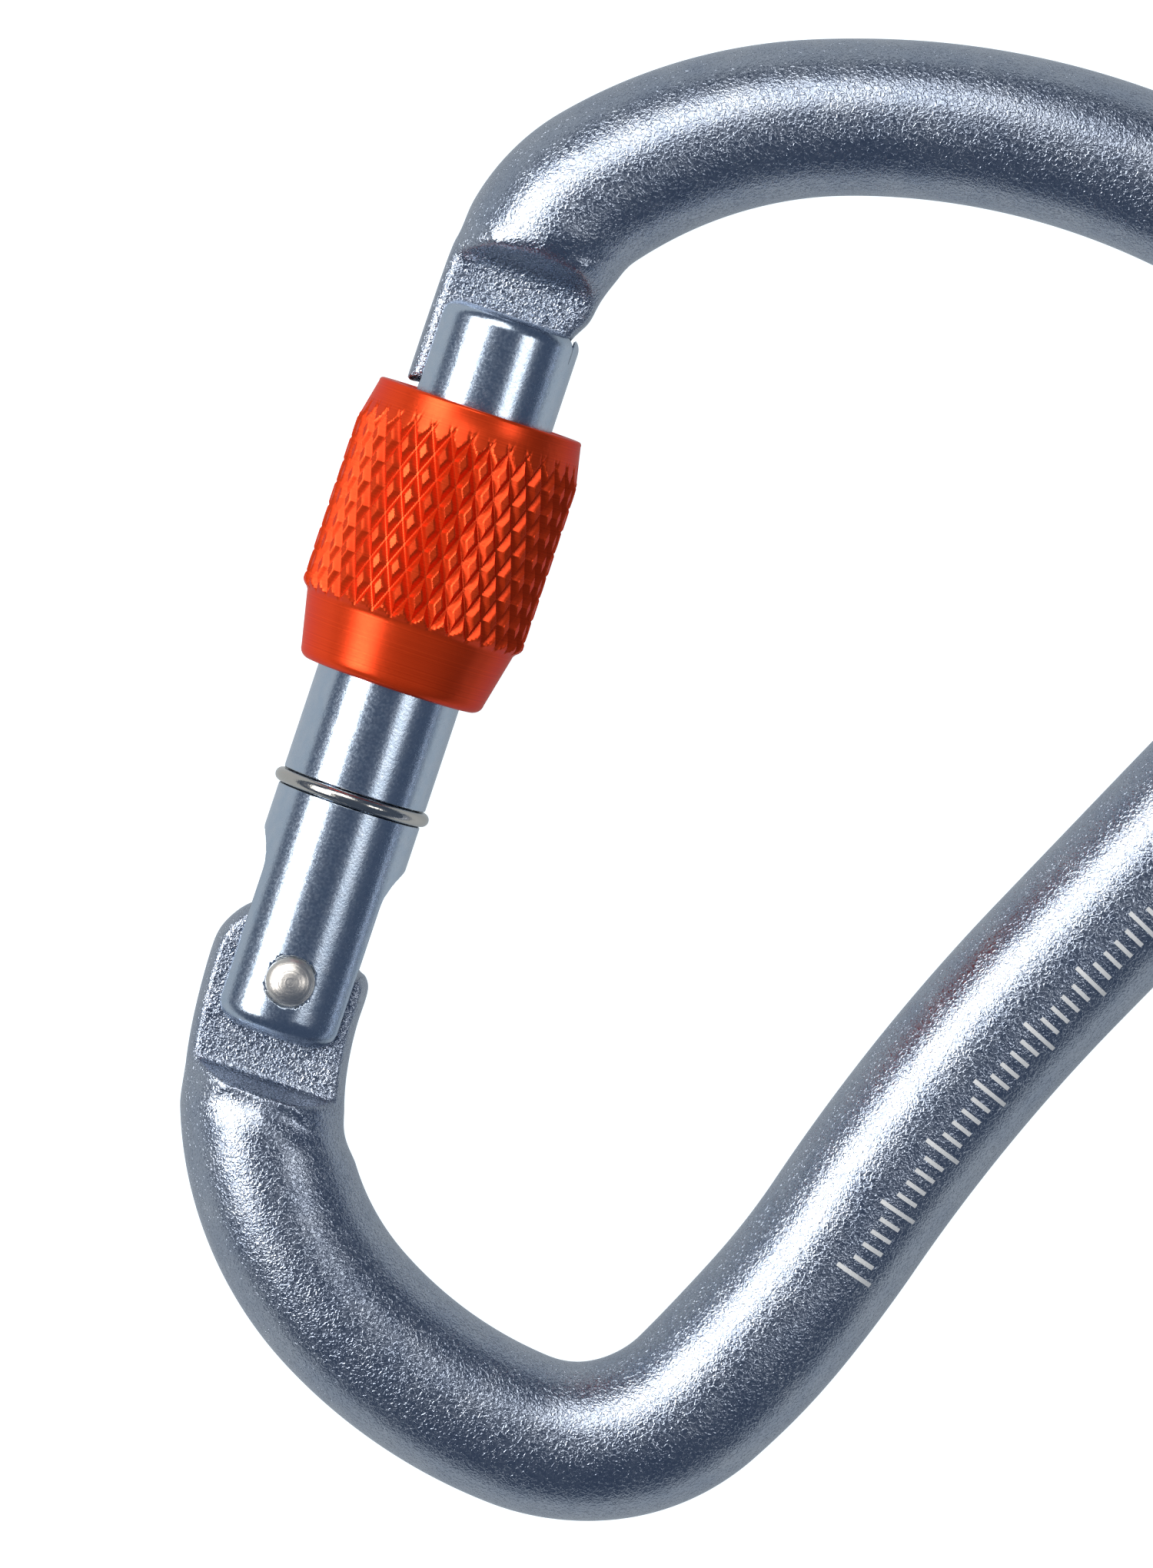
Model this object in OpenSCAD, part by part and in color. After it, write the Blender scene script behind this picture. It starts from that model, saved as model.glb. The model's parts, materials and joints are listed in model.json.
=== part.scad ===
// Screw-locking carabiner of the pear shape, gate closed, sleeve backed off just clear of the nose.
// It lies flat: the loop is in the XY plane with its long axis along +Y, and Z is its thickness.
// The origin is where a sling bears inside the narrow end. All sizes are in millimetres.

/* [Bar] */
// Diameter of the bar
bar_d = 12; // [11.6:0.1:12.2]
// Centre of the hinge rivet to the start of the round nose
loop_gap = 54; // [53.5:0.1:54.5]
// Lean of the closed gate from the line of load, in degrees
gate_lean = 18.8; // [18.5:0.1:19.1]

/* [Tongues] */
// Thickness of the flat hinge tongue
hinge_t = 5.1; // [4.8:0.1:5.2]
// Thickness of the flat nose tongue
nose_t = 3.7; // [3.4:0.1:3.7]
// Depth of the concave ramp from a flat up to the round bar
ramp_r = 2.4; // [2:0.1:2.6]

/* [Gate] */
// Diameter of the gate
gate_d = 10.7; // [10.6:0.1:10.8]
// Rivet centre to the gate's upper end
gate_top = 50.4; // [50:0.1:50.6]
// Rivet centre to the gate's lower end
gate_heel = 4.3; // [4:0.1:4.6]
// Diameter of the rivet's shank
rivet_d = 3; // [2.8:0.1:3.2]
// Degrees the gate opens
gate_swing = 27; // [20:1:27]
// Plunger travel for each radian of gate swing
cam_rise = 2.2; // [1.8:0.1:2.4]

/* [Sleeve] */
// Length of the sleeve
sleeve_l = 21; // [20.8:0.1:21.2]
// Diameter over the grip
sleeve_d = 16.7; // [16.4:0.1:17]
// Rivet centre to the sleeve's lower face
sleeve_at = 22.3; // [22.2:0.1:22.4]

/* [Hidden] */
$fn = 96;

slide_gap = 0.15;   // between sliding flats, each side
run_gap = 0.06;     // radial clearance of a shaft in its bore
over = 10;          // how far a cutter runs past what it cuts
bar_sides = 32;     // flats round the bar
bar_step = 7;       // most degrees between the bar's rings

// The bar is a chain of bends, [radius, turn in degrees], from the hinge round to the nose.
// A negative pair bends the other way. The spine's straight and the wide corner close the loop.
lower_bends = [[34, 8], [23, 52.5], [34, 26], [12.4, 65], [72, 13], [-140, -10]];
upper_bends = [[56, 31], [34, 29], [11.4, 40.5]];
bar_inset = 0.55;   // the bar's start lies this far outside the rivet
nose_inset = 0.35;  // and its end this far inside the gate's axis

function bend_end(h, r, a) = r * [sin(h + a) - sin(h), cos(h) - cos(h + a)];
function turned(bends, i) = i == 0 ? 0 : turned(bends, i - 1) + bends[i - 1][1];
function reached(bends, i, h) = i == 0 ? [0, 0]
    : reached(bends, i - 1, h) + bend_end(h + turned(bends, i - 1), bends[i - 1][0], bends[i - 1][1]);
function cross2(a, b) = a[0] * b[1] - a[1] * b[0];

along_gate = 90 + gate_lean;
u_dir = [cos(along_gate), sin(along_gate)];
in_dir = [sin(along_gate), -cos(along_gate)];
bar_r = bar_d / 2;

lower_n = len(lower_bends);
upper_n = len(upper_bends);
first_h = along_gate - 180;
spine_h = first_h + turned(lower_bends, lower_n);
corner_a = 360 - turned(lower_bends, lower_n) - turned(upper_bends, upper_n);
upper_h = spine_h + corner_a;
bar_start = -bar_inset * in_dir;
spine_start = bar_start + reached(lower_bends, lower_n, first_h);
bar_end = loop_gap * u_dir + nose_inset * in_dir;
left_over = bar_end - spine_start - reached(upper_bends, upper_n, upper_h);
spine_dir = [cos(spine_h), sin(spine_h)];
corner_dir = bend_end(spine_h, 1, corner_a);
corner_r = cross2(left_over, spine_dir) / cross2(corner_dir, spine_dir);
spine_l = cross2(left_over, corner_dir) / cross2(spine_dir, corner_dir);
corner_start = spine_start + spine_l * spine_dir;
upper_start = corner_start + bend_end(spine_h, corner_r, corner_a);

// The narrow end's lowest bend, the third, gives the origin.
low_i = 2;
low_h = first_h + turned(lower_bends, low_i);
low_start = bar_start + reached(lower_bends, low_i, first_h);
low_centre = low_start + lower_bends[low_i][0] * [-sin(low_h), cos(low_h)];
origin = low_centre - [0, lower_bends[low_i][0] - bar_r];

// Along the gate, from the rivet
gate_r = gate_d / 2;
hinge_flat_at = -7.5;      // where the hinge tongue's flat ends
nose_flat_at = 53.7;       // where the nose tongue's flat ends
slot_r = hinge_t / 2 + slide_gap + 0.05;
slot_c = 6.85;
spring_bore_r = 2.1;
spring_bore_end = 26;
plunger_r = spring_bore_r - run_gap;
plunger_gap = 0.12;
ball_at = 5.55;
plunger_end = 13;
spigot_r = 1.1;
spigot_l = 2.5;
spring_wire = 0.55;
spring_turns = 8;
ring_at = 13.8;
ring_wire_r = 0.5;
ring_r = gate_r - 0.03;
thread_from = 28.2;
thread_to = 35.2;
thread_r = 5.95;
nose_tip_r = 44.05;        // the nose tongue's end is an arc round the rivet
hook_in = 4.6;
notch_in = 3.75;
notch_at = 46.6;
head_r = 1.8;
head_h = 0.9;
head_base = 5.05;

// In these modules X runs along the gate from the rivet, Y points out of the loop and Z is up.
module on_gate() {
    translate([-origin[0], -origin[1], 0])
        rotate([0, 0, along_gate])
            children();
}

module on_axis(from) {
    translate([from, 0, 0])
        rotate([0, 90, 0])
            children();
}

// A profile drawn in X and Z, run across the gate in Y
module across(width) {
    rotate([90, 0, 0])
        linear_extrude(width, center = true)
            children();
}

// A closed solid through rings of points, all with the same count of points
module skin(rings) {
    sides = len(rings[0]);
    last = len(rings) - 1;
    walls = [
        for (i = [0 : last - 1])
            for (j = [0 : sides - 1])
                let (k = (j + 1) % sides)
                each [
                    [i * sides + j, (i + 1) * sides + j, (i + 1) * sides + k],
                    [i * sides + j, (i + 1) * sides + k, i * sides + k],
                ],
    ];
    low_cap = [for (j = [0 : sides - 1]) j];
    high_cap = [for (j = [sides - 1 : -1 : 0]) last * sides + j];
    polyhedron([for (ring = rings) each ring], concat(walls, [low_cap, high_cap]));
}

// Stations along a bend, [x, y, heading], without its far end
function bend_stations(start, h, r, a) =
    let (n = ceil(abs(a) / bar_step))
    [for (i = [0 : n - 1])
        let (t = a * i / n, at = start + bend_end(h, r, t)) [at[0], at[1], h + t]];

function chain_stations(bends, start, h, from) =
    [for (i = [from : len(bends) - 1])
        each bend_stations(
            start + reached(bends, i, h), h + turned(bends, i), bends[i][0], bends[i][1])];

function bar_ring(station) =
    [for (i = [0 : bar_sides - 1])
        let (b = 360 * i / bar_sides, side = bar_r * cos(b), h = station[2])
        [station[0] - side * sin(h), station[1] + side * cos(h), bar_r * sin(b)]];

module bar_loop() {
    stations = concat(
        chain_stations(lower_bends, bar_start, first_h, 1),
        [[spine_start[0], spine_start[1], spine_h]],
        bend_stations(corner_start, spine_h, corner_r, corner_a),
        chain_stations(upper_bends, upper_start, upper_h, 0),
        [[bar_end[0], bar_end[1], first_h + 360]]
    );
    translate([-origin[0], -origin[1], 0])
        skin([for (station = stations) bar_ring(station)]);
}

// Points of the plunger's cam: its ball's path round the rivet, less the ball's radius
ball_clear = plunger_r + plunger_gap;
function ball_r(t) = ball_at + cam_rise * t * PI / 180;
function cam_tilt(t) = atan(cam_rise / ball_r(t));
function cam_point(t) =
    let (r = ball_r(t) - ball_clear * cos(cam_tilt(t)), s = ball_clear * sin(cam_tilt(t)))
    [r * cos(t) - s * sin(t), -(r * sin(t) + s * cos(t))];

module hinge_outline() {
    outer_side = [
        [-9, 5.0], [-6, 5.3], [-4.7, 5.9], [-2, 6.15], [0.6, 6.2], [1.6, 6.15], [2.6, 5.7],
        [3.7, 5.0], [4.5, 4.2], [4.85, 3.4], [4.7, 2.8], [4.2, 2.45], [3.5, 2.2], [3.2, 1.6],
        [3.25, 0.4],
    ];
    inner_side = [
        [3.1, -3.9], [2.5, -4.5], [1.9, -4.9], [1.3, -5.3], [0.4, -5.5], [-4.6, -5.6],
        [-6, -5.2], [-9, -5.0],
    ];
    cam = [for (t = [-3 : 4 : gate_swing + 4]) cam_point(t)];
    polygon(concat(outer_side, cam, inner_side));
}

module nose_outline() {
    tip = [for (n = [-4.9 : 1.3 : 4.2]) [sqrt(nose_tip_r * nose_tip_r - n * n), -n]];
    outer_side = [[loop_gap + 3, 5.0], [loop_gap + 0.6, 5.1], [loop_gap - 0.4, 5.6], [44.3, 5.6]];
    inner_side = [
        [44.3, -hook_in], [45.6, -hook_in], [notch_at - 0.2, -notch_in], [notch_at + 0.4, -notch_in],
        [gate_top, -4.66], [51.2, -5.2], [52.4, -5.6], [loop_gap - 0.2, -6.0],
        [loop_gap + 0.6, -5.9], [loop_gap + 3, -5.0],
    ];
    polygon(concat(outer_side, tip, inner_side));
}

// What lies above a flat: open from the flat's end onward, with a concave ramp behind it
module above_flat(z, length) {
    arc = [for (a = [0 : 15 : 90]) [-ramp_r * sin(a), z + ramp_r * (1 - cos(a))]];
    for (side = [0, 1])
        mirror([0, 0, side])
            across(3 * bar_d)
                polygon(concat([[length, z]], arc, [[-ramp_r, over], [length, over]]));
}

module frame_bar() {
    color("slategray")
        difference() {
            union() {
                bar_loop();
                on_gate() {
                    translate([0, 0, -hinge_t / 2])
                        linear_extrude(hinge_t)
                            hinge_outline();
                    translate([0, 0, -nose_t / 2])
                        linear_extrude(nose_t)
                            nose_outline();
                }
            }
            on_gate() {
                translate([hinge_flat_at, 0, 0])
                    above_flat(hinge_t / 2, over);
                translate([nose_flat_at, 0, 0])
                    mirror([1, 0, 0])
                        above_flat(nose_t / 2, over);
                cylinder(r = rivet_d / 2 + run_gap, h = bar_d, center = true);
            }
        }
}

module gate_blank() {
    heel_r = 1.6;
    top_r = 0.8;
    heel = [for (a = [0 : 15 : 90])
        [gate_r - heel_r * (1 - sin(a)), -gate_heel + heel_r * (1 - cos(a))]];
    top = [for (a = [0 : 22.5 : 90])
        [gate_r - top_r * (1 - cos(a)), gate_top - top_r * (1 - sin(a))]];
    on_axis(0)
        rotate_extrude()
            polygon(concat(
                [[0, -gate_heel]],
                heel,
                [[gate_r, thread_from - 0.6], [thread_r, thread_from], [thread_r, thread_to],
                    [gate_r, thread_to + 0.6]],
                top,
                [[0, gate_top]]
            ));
}

module hinge_slot() {
    arc = [for (a = [-90 : 15 : 90]) [slot_c + slot_r * cos(a), slot_r * sin(a)]];
    across(2 * gate_d)
        polygon(concat([[-over, slot_r]], [[-over, -slot_r]], arc));
}

module nose_pocket() {
    gap = 0.12;
    top_in = 4.66 + gap;
    slot_w = nose_t + 2 * slide_gap;
    translate([0, 0, -slot_w / 2])
        linear_extrude(slot_w)
            polygon([
                [gate_top + 1, over], [gate_top + 1, -top_in - 0.25], [gate_top, -top_in],
                [notch_at + 0.3, -notch_in - gap], [notch_at - 0.1, -notch_in - gap],
                [45.75, -hook_in - gap], [43.3, -hook_in - gap], [42.9, -4.2], [42.9, over],
            ]);
}

module gate() {
    color("lightsteelblue")
        on_gate()
            difference() {
                gate_blank();
                hinge_slot();
                nose_pocket();
                on_axis(0)
                    cylinder(r = spring_bore_r, h = spring_bore_end);
                on_axis(ring_at)
                    rotate_extrude()
                        translate([ring_r, 0])
                            circle(ring_wire_r + run_gap);
                cylinder(d = rivet_d, h = 2 * gate_d, center = true);
                for (side = [0, 1])
                    mirror([0, 0, side])
                        translate([0, 0, head_base])
                            cylinder(r = head_r + run_gap, h = over);
            }
}

module rivet_head() {
    dome_r = (head_r * head_r + head_h * head_h) / (2 * head_h);
    translate([0, 0, head_base])
        intersection() {
            translate([0, 0, head_h - dome_r])
                sphere(dome_r);
            cylinder(r = 2 * head_r, h = over);
        }
}

module hinge_rivet() {
    color("silver")
        on_gate() {
            cylinder(d = rivet_d, h = 2 * head_base, center = true);
            rivet_head();
            mirror([0, 0, 1])
                rivet_head();
        }
}

module spring_plunger() {
    color("dimgray")
        on_gate() {
            translate([ball_at, 0, 0])
                sphere(plunger_r);
            on_axis(ball_at)
                cylinder(r = plunger_r, h = plunger_end - ball_at);
            on_axis(plunger_end)
                cylinder(r = spigot_r, h = spigot_l);
        }
}

// A round wire swept along a helix
module helix(coil_r, wire_r, turns, rise) {
    sides = 6;
    steps = 14 * turns;
    slope = atan(rise / (2 * PI * coil_r * turns));
    skin([
        for (i = [0 : steps])
            let (a = 360 * i * turns / steps)
            [for (j = [0 : sides - 1])
                let (b = 360 * j / sides, out = coil_r + wire_r * cos(b), up = wire_r * sin(b))
                [
                    out * cos(a) + up * sin(slope) * sin(a),
                    out * sin(a) - up * sin(slope) * cos(a),
                    rise * i / steps + up * cos(slope),
                ]],
    ]);
}

module gate_spring() {
    end_gap = 0.08;
    wire_r = spring_wire / 2;
    low = plunger_end + end_gap + wire_r;
    high = spring_bore_end - end_gap - wire_r;
    color("gainsboro")
        on_gate()
            on_axis(low)
                helix(plunger_r - wire_r - 0.08, wire_r, spring_turns, high - low);
}

module locking_sleeve() {
    lip_r = gate_r + 0.15;
    bore_r = 6.3;
    thread_bore_r = thread_r + 0.08;
    grip_r = sleeve_d / 2;
    color("orangered")
        on_gate()
            on_axis(sleeve_at)
                rotate_extrude()
                    polygon([
                        [lip_r, 0], [6.45, 0], [6.95, 0.5], [grip_r - 0.25, 4.9], [grip_r, 5.3],
                        [grip_r, sleeve_l - 3], [grip_r - 0.15, sleeve_l - 2.8],
                        [7.65, sleeve_l - 0.25], [7.45, sleeve_l], [bore_r, sleeve_l],
                        [bore_r, 17], [thread_bore_r, 16.6], [thread_bore_r, 7.4], [bore_r, 7],
                        [bore_r, 1.2], [lip_r, 0.9],
                    ]);
}

module stop_ring() {
    gap_a = 12;
    color("whitesmoke")
        on_gate()
            on_axis(ring_at)
                rotate([0, 0, gap_a / 2])
                    rotate_extrude(angle = 360 - gap_a)
                        translate([ring_r, 0])
                            circle(ring_wire_r);
}

frame_bar();
gate();
hinge_rivet();
spring_plunger();
gate_spring();
locking_sleeve();
stop_ring();
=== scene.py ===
import json
import math

import bpy
import numpy as np
from mathutils import Matrix, Vector


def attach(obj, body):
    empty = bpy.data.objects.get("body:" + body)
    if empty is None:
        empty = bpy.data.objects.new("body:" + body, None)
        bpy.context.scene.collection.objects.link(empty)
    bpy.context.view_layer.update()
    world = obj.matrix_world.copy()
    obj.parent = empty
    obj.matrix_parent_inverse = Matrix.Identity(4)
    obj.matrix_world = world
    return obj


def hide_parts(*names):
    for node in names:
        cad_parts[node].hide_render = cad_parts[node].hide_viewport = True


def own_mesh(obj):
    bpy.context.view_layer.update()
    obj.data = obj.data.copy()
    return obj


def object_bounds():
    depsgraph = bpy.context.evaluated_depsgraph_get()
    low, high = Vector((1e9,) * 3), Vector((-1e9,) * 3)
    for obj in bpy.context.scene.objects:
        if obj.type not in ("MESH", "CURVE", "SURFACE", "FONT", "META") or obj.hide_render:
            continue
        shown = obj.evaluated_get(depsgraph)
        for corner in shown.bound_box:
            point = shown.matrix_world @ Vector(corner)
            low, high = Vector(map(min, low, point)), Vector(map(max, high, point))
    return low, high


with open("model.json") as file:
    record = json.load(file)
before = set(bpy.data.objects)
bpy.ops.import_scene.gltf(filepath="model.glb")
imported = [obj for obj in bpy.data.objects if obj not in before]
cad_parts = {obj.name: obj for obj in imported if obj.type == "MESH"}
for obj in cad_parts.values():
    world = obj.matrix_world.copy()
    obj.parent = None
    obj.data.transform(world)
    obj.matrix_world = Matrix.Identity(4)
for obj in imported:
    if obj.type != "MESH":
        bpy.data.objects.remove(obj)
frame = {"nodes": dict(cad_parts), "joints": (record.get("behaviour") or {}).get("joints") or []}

cad_low, cad_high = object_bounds()

# Shapes are made in millimetres in the gate's frame: U runs along the gate from the rivet,
# V points out of the loop and Z is up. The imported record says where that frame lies.
MM = 0.001
joints = {joint["name"]: joint for joint in frame["joints"]}
RIVET = np.array(joints["gate_swing"]["pos_m"]) / MM
ALONG = np.array(joints["sleeve_spin"]["axis"])
ALONG = ALONG / np.linalg.norm(ALONG)
OUTWARD = np.array([-ALONG[1], ALONG[0], 0.0])
TO_ROW = np.column_stack([ALONG, OUTWARD, [0.0, 0.0, 1.0]])


def to_row(points):
    """Points of the gate's frame in millimetres, as points of the row's frame in metres."""
    return (np.asarray(points, float) @ TO_ROW.T + RIVET) * MM


def span(node):
    """How far a CAD node reaches along the gate, from the rivet, in millimetres."""
    corners = np.array([vertex.co for vertex in frame["nodes"][node].data.vertices])
    reach = (corners / MM - RIVET) @ ALONG
    return float(reach.min()), float(reach.max())


GATE_LOW, GATE_HIGH = span("gate")
SLEEVE_LOW = span("locking_sleeve")[0]
RING_AT = sum(span("stop_ring")) / 2

# The bar: a chain of bends, (radius, turn in degrees), as in the design
LOOP_GAP = 54.0
BAR_INSET = 0.55
NOSE_INSET = 0.35
LOWER_BENDS = [(34, 8), (23, 52.5), (34, 26), (12.4, 65), (72, 13), (-140, -10)]
UPPER_BENDS = [(56, 31), (34, 29), (11.4, 40.5)]

# The tongues
NOSE_TIP_R = 44.05      # the nose's tip is an arc about the rivet
CAM_RISE = 2.2          # how far the cam pushes the plunger, in millimetres per radian of swing
BALL_AT = 5.55          # the middle of the plunger's ball at rest
BALL_CLEAR = 2.16       # from there to the cam
TONGUE_FROM = -8.0      # a tongue's outline counts between these, from the end of its flat,
TONGUE_TO = 18.0
TONGUE_SIDE = 12.0      # and this far to each side of the gate's axis,
BLEND_FROM = -4.0       # and the bar's own outline gives way to it between these
BLEND_TO = -0.5

# The gate
RUN_GAP = 0.06
SLIDE_GAP = 0.15
RIVET_R = 1.5
GATE_R = 5.35
HINGE_CORNER = 1.7
NOSE_CORNER = 1.15
SLOT_R = 2.75
SLOT_END = 6.85
BORE_R = 2.1
BORE_END = 26.0
GROOVE_R = 5.32
RING_WIRE_R = 0.5
THREAD_FROM = 28.2
THREAD_TO = 35.2
THREAD_RUN_OUT = 0.6
THREAD_WAVE = 0.12      # half the depth from the thread's ridge to its furrow
LEAD = joints["sleeve_travel"]["range_m"][1] / MM / (joints["sleeve_spin"]["range_deg"][1] / 360)

# The rivet's domed heads
HEAD_R = 1.8
HEAD_BASE = 5.05
HEAD_H = 0.9
HEAD_GAP = 0.07

# The pocket in the gate that takes the nose. Going down towards the rivet, its floor rises to a ledge and
# drops again: (where a ramp starts, its length, its rise).
POCKET_FROM = 43.1
POCKET_FLOOR = -4.78
POCKET_RAMPS = [(48.5, 1.8, 1.03), (46.2, 0.6, -0.97)]


def smooth_min(a, b, k):
    """The lesser of two fields, blended where they are within k of each other."""
    return np.minimum(a, b) - np.maximum(k - np.abs(a - b), 0) ** 2 / (4 * k)


def smooth_max(a, b, k):
    return -smooth_min(-a, -b, k)


# ---------------------------------------------------------------- the bar's centreline

def bend_step(heading, radius, turn):
    """How far a bend moves on, for a heading and a turn in degrees."""
    start, end = math.radians(heading), math.radians(heading + turn)
    return radius * np.array([math.sin(end) - math.sin(start), math.cos(start) - math.cos(end)])


def heading_vector(heading):
    return np.array([math.cos(math.radians(heading)), math.sin(math.radians(heading))])


def bar_chain():
    """The closed loop's pieces: (start, heading, radius, turn, length). A straight has radius 0."""
    chain = []

    def add(radius, turn):
        nonlocal at, heading
        chain.append((at, heading, radius, turn, abs(math.radians(turn) * radius)))
        at = at + bend_step(heading, radius, turn)
        heading += turn

    at, heading = np.array([0.0, BAR_INSET]), 180.0
    for radius, turn in LOWER_BENDS:
        add(radius, turn)
    corner_turn = 360 - sum(turn for _, turn in LOWER_BENDS + UPPER_BENDS)
    upper_heading = heading + corner_turn
    upper_reach = np.zeros(2)
    for radius, turn in UPPER_BENDS:
        upper_reach = upper_reach + bend_step(upper_heading, radius, turn)
        upper_heading += turn
    left_over = np.array([LOOP_GAP, -NOSE_INSET]) - at - upper_reach
    straight, corner = heading_vector(heading), bend_step(heading, 1, corner_turn)
    corner_r = np.cross(left_over, straight) / np.cross(corner, straight)
    spine_l = np.cross(left_over, corner) / np.cross(straight, corner)
    chain.append((at, heading, 0, 0, spine_l))
    at = at + spine_l * straight
    add(corner_r, corner_turn)
    for radius, turn in UPPER_BENDS:
        add(radius, turn)
    return chain


CHAIN = bar_chain()
# The forged bar isn't even: stations along its centreline, in millimetres, and its radius there
SWELL_AT = [0, 14, 26, 36, 45, 50, 60, 68, 82, 112, 126, 150, 165, 178, 193, 201, 212]
SWELL_R = [6.0, 6.0, 5.92, 5.8, 5.7, 5.95, 6.2, 6.03, 6.1, 6.25, 6.15, 5.95, 5.85, 5.75, 5.65, 5.8, 6.0]


def bar_radius(station):
    """The bar's radius at stations, smoothed between the given ones."""
    fine = np.arange(0, 220, 1.0)
    rough = np.interp(fine, SWELL_AT, SWELL_R)
    kernel = np.hanning(11)
    smooth = np.convolve(np.pad(rough, 5, mode="edge"), kernel / kernel.sum(), mode="valid")
    return np.interp(station, fine, smooth)


def loop_distance(points):
    """Distance of flat points from the bar's centreline, and the station of the nearest place."""
    best = np.full(len(points), 60.0)
    station = np.zeros(len(points))
    done = 0.0
    for index, (start, heading, radius, turn, length) in enumerate(CHAIN):
        # The first bend lies within the hinge tongue, whose outline takes its place.
        if index > 0:
            offset = points - start
            if radius == 0:
                ahead = heading_vector(heading)
                run = offset @ ahead
                distance = np.abs(offset @ np.array([-ahead[1], ahead[0]]))
                on_piece = (run >= 0) & (run <= length)
            else:
                spoke = -radius * np.array([-heading_vector(heading)[1], heading_vector(heading)[0]])
                arm = offset + spoke
                cross = spoke[0] * arm[:, 1] - spoke[1] * arm[:, 0]
                swept = np.arctan2(cross, arm @ spoke) * np.sign(turn)
                distance = np.abs(np.hypot(arm[:, 0], arm[:, 1]) - abs(radius))
                run = swept * abs(radius)
                on_piece = (swept >= 0) & (run <= length)
            nearer = on_piece & (distance < best)
            best[nearer] = distance[nearer]
            station[nearer] = done + run[nearer]
        done += length
    return best, station


def bar_place(station):
    """The centreline's point and heading at a station."""
    for start, heading, radius, turn, length in CHAIN:
        if station <= length:
            break
        station -= length
    if radius == 0:
        return start + station * heading_vector(heading), heading
    part = turn * station / length
    return start + bend_step(heading, radius, part), heading + part


# ---------------------------------------------------------------- outlines of the tongues

def rounded(outline, passes=2):
    """The outline with its corners cut off again and again, which rounds them."""
    points = np.array(outline, float)
    for _ in range(passes):
        after = np.roll(points, -1, axis=0)
        points = np.column_stack([0.75 * points + 0.25 * after, 0.25 * points + 0.75 * after])
        points = points.reshape(-1, 2)
    return points


def cam_point(degrees):
    """A point of the plunger's cam, on the hinge tongue, for a swing of the gate."""
    swing = math.radians(degrees)
    path = BALL_AT + CAM_RISE * swing
    tilt = math.atan(CAM_RISE / path)
    reach, side = path - BALL_CLEAR * math.cos(tilt), BALL_CLEAR * math.sin(tilt)
    return (
        reach * math.cos(swing) - side * math.sin(swing),
        -(reach * math.sin(swing) + side * math.cos(swing)),
    )


HINGE_OUTLINE = rounded(
    [(-12, 4.0), (-9, 5.2), (-6, 5.75), (-3, 6.05), (0, 6.2), (1.6, 6.15), (2.9, 5.6), (4.0, 4.8)]
    + [(4.7, 3.9), (4.85, 3.2), (4.6, 2.6), (4.2, 2.4), (3.5, 2.2), (3.2, 1.6), (3.25, 0.4)]
    + [cam_point(degrees) for degrees in range(-3, 32, 4)]
    + [(3.1, -3.4), (2.4, -4.1), (1.95, -4.55), (1.85, -5.0), (1.2, -5.5), (0.2, -5.6), (-1.6, -5.55)]
    + [(-4.0, -5.75), (-6.5, -6.2), (-9, -7.0), (-12, -7.0)]
)
NOSE_OUTLINE = rounded(
    [(58, 5.0), (55, 5.5), (LOOP_GAP, 5.75), (50, 5.82), (44.2, 5.82), (43.7, 5.8), (43.69, 5.3)]
    + [(math.sqrt(NOSE_TIP_R**2 - side**2), side) for side in (4.6, 3.3, 2, 0.7, -0.6, -1.9, -3.2)]
    + [(43.9, -4.55), (45.6, -4.55), (46.4, -3.75), (47.0, -3.75), (50.0, -4.5), (50.9, -5.0)]
    + [(51.7, -5.45), (53.2, -5.65), (54.2, -5.95), (56, -6.5), (58, -6.5)]
)


def outline_distance(points, outline):
    """Signed distance of flat points from a closed outline, negative inside."""
    nearest = np.full(len(points), 1e9)
    inside = np.zeros(len(points), bool)
    for a, b in zip(outline, np.roll(outline, -1, axis=0)):
        edge, arm = b - a, points - a
        part = np.clip((arm @ edge) / (edge @ edge), 0, 1)
        gap = arm - part[:, None] * edge
        nearest = np.minimum(nearest, (gap**2).sum(1))
        crosses = (a[1] > points[:, 1]) != (b[1] > points[:, 1])
        if crosses.any() and a[1] != b[1]:
            at = a[0] + (points[:, 1] - a[1]) * edge[0] / edge[1]
            inside ^= crosses & (points[:, 0] < at)
    return np.sqrt(nearest) * np.where(inside, -1, 1)


HINGE_TONGUE = {
    "outline": HINGE_OUTLINE, "way": 1, "flat_at": -7.4, "half": 2.55,
    "lean": 20, "fillet": 0.45, "edge": 0.3,
}
NOSE_TONGUE = {
    "outline": NOSE_OUTLINE, "way": -1, "flat_at": 53.5, "half": 1.85,
    "lean": 27, "fillet": 0.9, "edge": 0.7,
}


# ---------------------------------------------------------------- fields: negative is solid

def above_flat(ahead, height, lean, fillet):
    """What is cut away above a flat: a leaning wall behind it, with a fillet at its foot."""
    wall = -(ahead * math.cos(math.radians(lean)) + height * math.sin(math.radians(lean)))
    return smooth_max(wall, -height, fillet)


def smooth_step(low, high, value):
    """A share from 0 to 1 that eases in and out between low and high."""
    part = np.clip((value - low) / (high - low), 0, 1)
    return part * part * (3 - 2 * part)


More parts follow.
